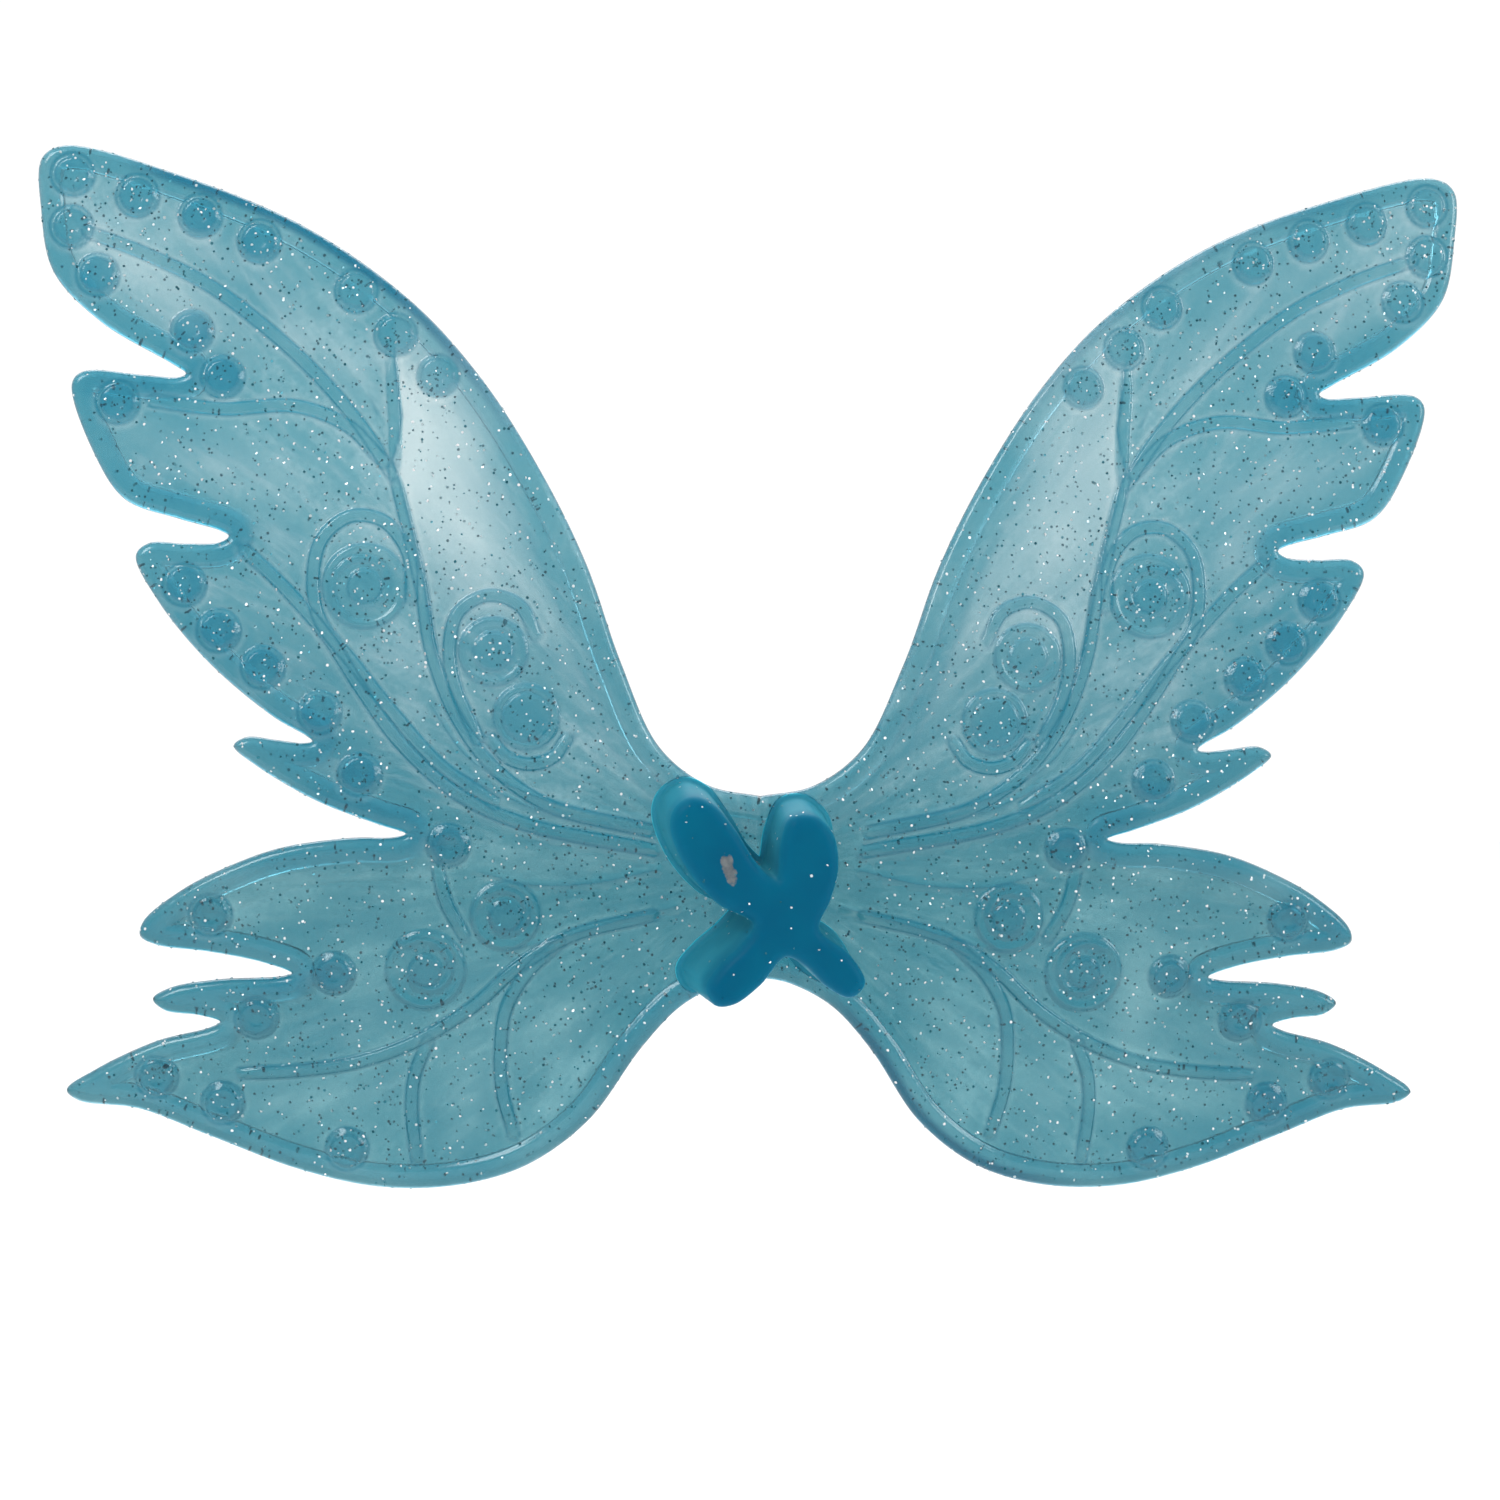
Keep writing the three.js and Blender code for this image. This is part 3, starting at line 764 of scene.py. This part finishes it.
# darker towards the bottom, and over the right half as painted shade; paler towards the top
tint = vinyl.mix((tone_at * -1.0).clamp(), tint, (0.52, 0.77, 0.78, 1), "MULTIPLY")
tint = vinyl.mix(tone_at.clamp(), tint, (1.25, 1.19, 1.17, 1), "MULTIPLY")
wave = vinyl.node(
    "ShaderNodeBump",
    {},
    {"Height": ripple + 0.08 * grain, "Strength": 0.25, "Distance": 0.0006},
)
vinyl_shader = vinyl.node(
    "ShaderNodeBsdfPrincipled",
    {},
    {
        "Base Color": tint,
        "Roughness": 0.1 + 0.12 * cloud,
        "IOR": 1.45,
        "Transmission Weight": 0.85,
        "Specular IOR Level": 0.35,
        "Coat Weight": 0.12,
        "Coat Roughness": 0.08,
        "Normal": wave,
    },
)
vinyl.node("ShaderNodeOutputMaterial", {}, {0: vinyl_shader})

# ---------------------------------------------------------------- four lobes
# A forewing and a hindwing leave the web on each side. They are the same moulding as the web, and
# bend back 8 degrees along a short arc, which is also where they flex when they are pushed.
SWEEP = math.radians(8)
FLEX_LENGTH = 8.0


def outward(begin, end):
    """The direction across the line between two points, to its right as it is walked."""
    ahead = (end - begin) / np.linalg.norm(end - begin)
    return np.array([ahead[1], -ahead[0]])


lobe_out = {
    "forewing": outward(edge_line[fore_corner], notch_point),
    "hindwing": outward(notch_point, edge_line[hind_corner]),
}


def swept(p, y, out):
    """Places flat points on the sheet, which bends back along a short arc and then runs straight."""
    if out is None:
        return np.stack([p[:, 0], y, p[:, 1]], 1)
    reach = (p - notch_point) @ out
    angle = SWEEP * np.clip(reach / FLEX_LENGTH, 0, 1)
    radius = FLEX_LENGTH / SWEEP
    past = np.maximum(reach - FLEX_LENGTH, 0)
    bent = radius * np.sin(angle) + past * math.cos(SWEEP)
    depth = radius * (1 - np.cos(angle)) + past * math.sin(SWEEP)
    new_reach = np.where(reach < 0, reach, bent) - y * np.sin(angle)
    depth = np.where(reach < 0, 0, depth)
    moved = p + (new_reach - reach)[:, None] * out
    return np.stack([moved[:, 0], depth + y * np.cos(angle), moved[:, 1]], 1)


def write_values(mesh, values):
    """Stores one number for each point under each name."""
    for label, value in values.items():
        layer = mesh.attributes.new(label, "FLOAT", "POINT")
        layer.data.foreach_set("value", value.astype(np.float32))


def sheet_piece(name, chosen, out, side):
    """Closes one region of the pattern into a front and a back that share the outer edge."""
    faces = triangles[chosen]
    used = np.unique(faces)
    inner_points = np.flatnonzero(~on_edge[used])
    slot_of = np.zeros(len(flat), int)
    slot_of[used] = np.arange(len(used))
    front_faces = slot_of[faces]
    back_slot = np.arange(len(used))
    back_slot[inner_points] = len(used) + np.arange(len(inner_points))
    back_faces = back_slot[front_faces][:, ::-1]
    front = swept(flat[used], -front_height[used], out)
    back = swept(flat[used], back_height[used], out)
    vertices = np.vstack([front, back[inner_points]]) * MM * (side, 1, 1)
    mesh = bpy.data.meshes.new(name)
    all_faces = np.vstack([front_faces, back_faces])[:, ::side]
    mesh.from_pydata(vertices.tolist(), [], all_faces.tolist())
    source = np.concatenate([used, used[inner_points]])
    on_front = np.arange(len(source)) < len(used)
    write_values(
        mesh,
        {
            "thickness": (front_height + back_height)[source],
            "flank": flank[source] * on_front,
            "clear": pale_and_highlight_on[side][source],
            "deep": deep_on[side][source],
            "edge_depth": edge_refraction_on[side][source],
            "tone": tone_and_shade_on[side][source],
            "crowd": crowd[source],
        },
    )
    layer = mesh.attributes.new("flow", "FLOAT_VECTOR", "POINT")
    own_flow = flow_at[source] + (0, 0, 5 * side)
    layer.data.foreach_set("vector", own_flow.astype(np.float32).ravel())
    mesh.materials.append(vinyl.block)
    mesh.shade_smooth()
    return add_object(name, mesh)


face_middle = flat[triangles].mean(1)
above_notch = (face_middle[:, 0] > NOTCH[0]) | (face_middle[:, 1] > NOTCH[1] + 0.3)
in_forewing = ((face_middle - notch_point) @ lobe_out["forewing"] > 0) & above_notch
in_hindwing = ((face_middle - notch_point) @ lobe_out["hindwing"] > 0) & ~in_forewing
lobe_faces = {"forewing": in_forewing, "hindwing": in_hindwing}

lobes = {}
for hand, side in (("left", LEFT), ("right", RIGHT)):
    for lobe, out in lobe_out.items():
        sheet = sheet_piece(f"{hand}_{lobe}_sheet", lobe_faces[lobe], out, side)
        begin = Vector((NOTCH[0] * side, 0, NOTCH[1])) * MM
        reach = Vector((out[0] * side, 0, out[1])) * FLEX_LENGTH * MM
        lobes[f"{hand}_{lobe}"] = (sheet, tuple(begin), tuple(begin + reach))
for body, (sheet, begin, end) in lobes.items():
    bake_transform(sheet)
    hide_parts(body)

# ---------------------------------------------------------------- centre web
# The flat middle of the same moulding, which stays where the plug holds it. Its two halves share
# the points of the middle line, so they are joined into one closed sheet.
web_mesh = bpy.data.meshes.new("web_sheet")
web_build = bmesh.new()
for side in (LEFT, RIGHT):
    half = sheet_piece("half_web", ~(in_forewing | in_hindwing), None, side)
    web_build.from_mesh(half.data)
    bpy.data.objects.remove(half)
middle_points = [point for point in web_build.verts if abs(point.co.x) < 1e-7]
bmesh.ops.remove_doubles(web_build, verts=middle_points, dist=2e-6)
web_build.to_mesh(web_mesh)
web_build.free()
web_mesh.shade_smooth()
web_mesh.materials.append(vinyl.block)
web = add_object("web_sheet", web_mesh)
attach(web, "root")
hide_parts("centre_web")

# ---------------------------------------------------------------- butterfly plug
# The solid plug stands on the web's front and presses into the doll's back. It is moulded in one
# with the sheet, so it is the same tinted vinyl, deep blue because it is 12 mm thick.
PLUG_LENGTH = 12.0
PLUG_DRAFT = 0.06
PLUG_LEAN_X = 0.95
PLUG_LEAN_Z = -0.8
PLUG_SKEW = -0.09
PLUG_EDGE_ROUND = 1.3
PLUG_SPACING = 0.5
END_SPACING = 0.6
PLUG_OUTLINE = [
    (-9, 11.2), (-11.2, 9.8), (-11.8, 7.6), (-10.2, 3.2), (-6.8, -0.7), (-2.8, -2.9),
    (-4.2, -5), (-7, -7.5), (-8.8, -10), (-7.9, -12), (-5.7, -11.9), (-2.4, -9.7), (0.8, -6.6),
    (3, -7.6), (5.4, -9.9), (8.1, -11.1), (10, -9.4), (8.4, -6.3), (5, -3.4),
    (6.5, -0.2), (7.7, 3.5), (7.3, 7.2), (5, 9.3), (2.3, 8.9), (1, 6), (0.2, 2.2),
    (-1.7, 3.6), (-4.2, 7.6), (-6.6, 10.4),
]
# height over the web's front and how far the wall is drawn in there: the fillet at its foot, the
# drafted wall and the rounding at its end
FOOT = (-0.5, -0.6)
FILLET = [FOOT, (-0.02, -0.55), (0.05, -0.36), (0.18, -0.19), (0.4, -0.07), (0.8, 0)]
WALL = [(height, 0) for height in np.linspace(1.8, PLUG_LENGTH - PLUG_EDGE_ROUND, 9)]
ROUNDING = [
    (
        PLUG_LENGTH - PLUG_EDGE_ROUND * (1 - math.sin(angle)),
        PLUG_EDGE_ROUND * (1 - math.cos(angle)),
    )
    for angle in np.radians([13, 26, 39, 52, 65, 78, 90])
]


def plug_section(line, height):
    """A section of the plug: the outline drawn in by its draft and leaned to one side."""
    rise = max(height, 0) / PLUG_LENGTH
    lean = PLUG_LEAN_X + PLUG_SKEW * (line[:, 1] + 3)
    x = line[:, 0] * (1 - PLUG_DRAFT * rise) + lean * rise
    z = line[:, 1] + PLUG_LEAN_Z * rise
    return np.stack([x, np.full(len(line), -half_rim - height), z], 1)


def drawn_in(line, distance):
    """A closed line moved inwards."""
    along = np.roll(line, -1, axis=0) - np.roll(line, 1, axis=0)
    along /= np.linalg.norm(along, axis=1)[:, None]
    return line + distance * np.stack([along[:, 1], -along[:, 0]], 1)


def filled(line, extra=()):
    """Points and triangles that fill a closed line."""
    points = [Vector(p) for p in [*line.tolist(), *extra]]
    made, _, faces, *_ = delaunay_2d_cdt(points, [], [list(range(len(line)))], 1, 1e-7)
    return np.array([tuple(p) for p in made]), faces


plug_line = smooth(PLUG_OUTLINE, PLUG_SPACING, closed=True)[::-1]
sections = FILLET + WALL + ROUNDING
around = len(plug_line)
rings = [plug_section(drawn_in(plug_line, inset), height) for height, inset in sections]
plug_faces = []
for level in range(len(sections) - 1):
    low, high = level * around, (level + 1) * around
    for i in range(around):
        j = (i + 1) % around
        plug_faces.append((low + i, low + j, high + j, high + i))
end_rows = np.arange(-13, 12, END_SPACING)
end_grid = [(x, z) for x in end_rows for z in end_rows]
end_points, end_faces = filled(drawn_in(plug_line, PLUG_EDGE_ROUND), end_grid)
end_start = len(sections) * around
plug_faces += [tuple(end_start + i for i in face) for face in end_faces]
# the foot's outline crosses itself in the narrow crotches, and the slivers there are left out
_, foot_faces = filled(drawn_in(plug_line, FOOT[1]))
plug_faces += [tuple(reversed(face)) for face in foot_faces if max(face) < around]
plug_points = np.vstack([*rings, plug_section(end_points, PLUG_LENGTH)]) * MM

plug_mesh = bpy.data.meshes.new("butterfly_plug_solid")
plug_mesh.from_pydata(plug_points.tolist(), [], plug_faces)
plug_build = bmesh.new()
plug_build.from_mesh(plug_mesh)
bmesh.ops.remove_doubles(plug_build, verts=plug_build.verts, dist=1e-6)
loose = [point for point in plug_build.verts if not point.link_faces]
bmesh.ops.delete(plug_build, geom=loose, context="VERTS")
bmesh.ops.recalc_face_normals(plug_build, faces=plug_build.faces)
plug_build.to_mesh(plug_mesh)
plug_build.free()
plug_mesh.shade_smooth()

# 0 on the walls, 1 on the end and -1 on the foot, which is sunk in the web
places = np.zeros(len(plug_mesh.vertices) * 3)
plug_mesh.vertices.foreach_get("co", places)
height = -places[1::3] / MM - half_rim
at_end = 0.55 * ease(PLUG_LENGTH - 5.0, PLUG_LENGTH - 1.3, height)
at_end += 0.45 * ease(PLUG_LENGTH - 1.3, PLUG_LENGTH - 0.05, height) - (height < -0.3)
write_values(plug_mesh, {"end_face": at_end, "crowd": np.ones(len(height))})

deep_vinyl = Finish("deep_vinyl")
place = deep_vinyl.node("ShaderNodeTexCoord", {}, {}, out=3)
end_face = deep_vinyl.painted("end_face")
on_end = end_face.clamp()
glowing_foot = (end_face * -1.0).clamp()


def plug_noise(scale, detail):
    return deep_vinyl.node(
        "ShaderNodeTexNoise", {}, {"Vector": place, "Scale": scale, "Detail": detail}
    )


cloud = plug_noise(130.0, 3.0)
wall_colour = deep_vinyl.mix(cloud, (0.008, 0.16, 0.24, 1), (0.035, 0.25, 0.33, 1))
end_colour = deep_vinyl.mix(cloud, (0.0, 0.075, 0.155, 1), (0.0, 0.13, 0.215, 1))
plug_colour = deep_vinyl.mix(on_end, wall_colour, end_colour)
# the bright blue of the foot is part of its painted glow
plug_colour = deep_vinyl.mix(glowing_foot, plug_colour, (0.03, 0.50, 0.72, 1))
# the pale torn mark where the sprue was broken off
SCAR_X, SCAR_Z = -0.0047, 0.0026
torn = plug_noise(1300.0, 3.0)
place_x = deep_vinyl.node("ShaderNodeSeparateXYZ", {}, {0: place}, out=0)
place_z = deep_vinyl.node("ShaderNodeSeparateXYZ", {}, {0: place}, out=2)
scar_across = ((place_x - SCAR_X) / 0.0007 + (place_z - SCAR_Z) / 0.0025) ** 2.0
scar_along = ((place_z - SCAR_Z) / 0.0016) ** 2.0
scar = ((1.4 - scar_across - scar_along + (torn - 0.5) * 3.4) * 2.0).clamp() * on_end * 0.7
scar_colour = deep_vinyl.mix(torn, (0.05, 0.035, 0.025, 1), (0.34, 0.32, 0.29, 1))
plug_colour = deep_vinyl.mix(scar, plug_colour, scar_colour)
# a painted glow: the foot, sunk in the web, gets a bright colour and an emission that stand in for
# the light that runs down the solid plug and shows blue at its foot, through the back of the web
painted_foot_glow = deep_vinyl.mix(glowing_foot, (0, 0, 0, 1), (0.0, 0.19, 0.25, 1))
plug_bump = deep_vinyl.node(
    "ShaderNodeBump",
    {},
    {"Height": plug_noise(700.0, 2.0), "Strength": 0.15, "Distance": 0.0002},
)
plug_shader = deep_vinyl.node(
    "ShaderNodeBsdfPrincipled",
    {},
    {
        "Base Color": plug_colour,
        "Roughness": 0.42 + 0.12 * cloud,
        "IOR": 1.45,
        "Subsurface Weight": 0.5,
        "Subsurface Radius": (0.25, 0.8, 1.0),
        "Subsurface Scale": 0.003,
        "Emission Color": painted_foot_glow,
        "Emission Strength": 1.0,
        "Specular IOR Level": 0.05,
        "Coat Weight": 0.02,
        "Coat Roughness": 0.2,
        "Normal": plug_bump,
    },
)
deep_vinyl.node("ShaderNodeOutputMaterial", {}, {0: plug_shader})
plug_mesh.materials.append(deep_vinyl.block)
plug = add_object("butterfly_plug_solid", plug_mesh)
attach(plug, "root")
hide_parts("butterfly_plug")

# ---------------------------------------------------------------- glitter
# Hexagonal flakes cut from metallised film are stirred into the vinyl before it is injected. The
# ones that show lie at its two faces. Each is given a random painted glint: white for a painted
# highlight, dark teal for painted shade, whichever way the flake faces.
FLAKES_PER_M2 = 380000.0
PLUG_FLAKES_PER_M2 = 110000.0
FLAKE_RADIUS = 0.00015
FLAKE_THICKNESS = 0.00002
FLAKE_LIFT = 0.00003
FIRST_SEED = 3

silver = Finish("silver_flake")
# a random number on each flake that paints it dark as painted shade or white as a painted highlight
flash = silver.painted("flash")
flake_painted_glint_colour = silver.node(
    "ShaderNodeValToRGB",
    {
        "stops": [
            (0.0, (0.015, 0.10, 0.13)),
            (0.44, (0.06, 0.21, 0.26)),
            (0.54, (0.42, 0.54, 0.57)),
            (1.0, (0.98, 0.93, 0.93)),
        ]
    },
    {0: flash},
)
flake_shader = silver.node(
    "ShaderNodeBsdfPrincipled",
    {},
    {"Base Color": flake_painted_glint_colour, "Metallic": 0.9, "Roughness": 0.3 + 0.2 * flash},
)
silver.node("ShaderNodeOutputMaterial", {}, {0: flake_shader})


def glitter_tree():
    """Scatters flakes over both faces of a closed sheet, more where its points say crowd."""
    tree = bpy.data.node_groups.new("stir_in_flakes", "GeometryNodeTree")
    panel = tree.interface
    panel.new_socket("Geometry", in_out="INPUT", socket_type="NodeSocketGeometry")
    for name in ("Flakes per square metre", "Flake radius", "Flake thickness", "Lift"):
        panel.new_socket(name, in_out="INPUT", socket_type="NodeSocketFloat")
    panel.new_socket("Seed", in_out="INPUT", socket_type="NodeSocketInt")
    panel.new_socket("Geometry", in_out="OUTPUT", socket_type="NodeSocketGeometry")

    def add(kind, settings, sockets, out=0):
        made = tree.nodes.new(kind)
        for key, value in settings.items():
            setattr(made, key, value)
        for key, value in sockets.items():
            if isinstance(value, bpy.types.NodeSocket):
                tree.links.new(value, made.inputs[key])
            else:
                made.inputs[key].default_value = value
        return made.outputs[out] if made.outputs else made

    def times(first, second):
        return add("ShaderNodeMath", {"operation": "MULTIPLY"}, {0: first, 1: second})

    def random_value(low, high, seed):
        return add("FunctionNodeRandomValue", {}, {2: low, 3: high, "Seed": seed}, out=1)

    given = tree.nodes.new("NodeGroupInput").outputs
    crowded = add("GeometryNodeInputNamedAttribute", {"data_type": "FLOAT"}, {"Name": "crowd"})
    density = times(given["Flakes per square metre"], crowded)
    scatter = add(
        "GeometryNodeDistributePointsOnFaces",
        {},
        {"Mesh": given["Geometry"], "Density": density, "Seed": given["Seed"]},
    ).node
    offset = add(
        "ShaderNodeVectorMath",
        {"operation": "SCALE"},
        {
            0: scatter.outputs["Normal"],
            "Scale": times(random_value(0.1, 1.0, 3), given["Lift"]),
        },
    )
    lifted = add(
        "GeometryNodeSetPosition", {}, {"Geometry": scatter.outputs["Points"], "Offset": offset}
    )
    tilt = add(
        "FunctionNodeRandomValue",
        {"data_type": "FLOAT_VECTOR"},
        {0: (-0.5, -0.5, 0.0), 1: (0.5, 0.5, 6.28), "Seed": 5},
    )
    turned = add(
        "FunctionNodeRotateRotation",
        {"rotation_space": "LOCAL"},
        {0: scatter.outputs["Rotation"], 1: tilt},
    )
    flake = add(
        "GeometryNodeMeshCylinder",
        {},
        {"Vertices": 6, "Radius": given["Flake radius"], "Depth": given["Flake thickness"]},
    )
    placed = add(
        "GeometryNodeInstanceOnPoints",
        {},
        {
            "Points": lifted,
            "Instance": flake,
            "Rotation": turned,
            "Scale": random_value(0.6, 1.25, 7),
        },
    )
    # each flake's random painted glint, from painted shade to painted highlight
    marked = add(
        "GeometryNodeStoreNamedAttribute",
        {"data_type": "FLOAT", "domain": "INSTANCE"},
        {"Geometry": placed, "Name": "flash", "Value": random_value(0.0, 1.0, 11)},
    )
    real = add("GeometryNodeRealizeInstances", {}, {0: marked})
    coated = add(
        "GeometryNodeSetMaterial", {}, {"Geometry": real, "Material": silver.block}
    )
    add("NodeGroupOutput", {}, {0: coated})
    return tree


flake_tree = glitter_tree()
flake_inputs = {
    item.name: item.identifier
    for item in flake_tree.interface.items_tree
    if item.in_out == "INPUT"
}


def stir_in(name, host_mesh, seed, density=FLAKES_PER_M2):
    """The flakes of one piece, as a plain mesh of their own."""
    host = add_object(name + "_host", host_mesh)
    stirred = host.modifiers.new("flakes", "NODES")
    stirred.node_group = flake_tree
    stirred[flake_inputs["Flakes per square metre"]] = density
    stirred[flake_inputs["Flake radius"]] = FLAKE_RADIUS
    stirred[flake_inputs["Flake thickness"]] = FLAKE_THICKNESS
    stirred[flake_inputs["Lift"]] = FLAKE_LIFT
    stirred[flake_inputs["Seed"]] = seed
    bpy.context.view_layer.update()
    ready = host.evaluated_get(bpy.context.evaluated_depsgraph_get())
    mesh = bpy.data.meshes.new_from_object(ready)
    mesh.name = name
    bpy.data.objects.remove(host)
    return add_object(name, mesh)


for number, (body, (sheet, begin, end)) in enumerate(lobes.items()):
    flakes = stir_in(body + "_glitter", sheet.data.copy(), FIRST_SEED + number)
    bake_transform(flakes)
web_seed = FIRST_SEED + len(lobes)
web_flakes = stir_in("web_glitter", web_mesh.copy(), web_seed)
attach(web_flakes, "root")
plug_flakes = stir_in("plug_glitter", plug_mesh.copy(), web_seed + 1, PLUG_FLAKES_PER_M2)
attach(plug_flakes, "root")
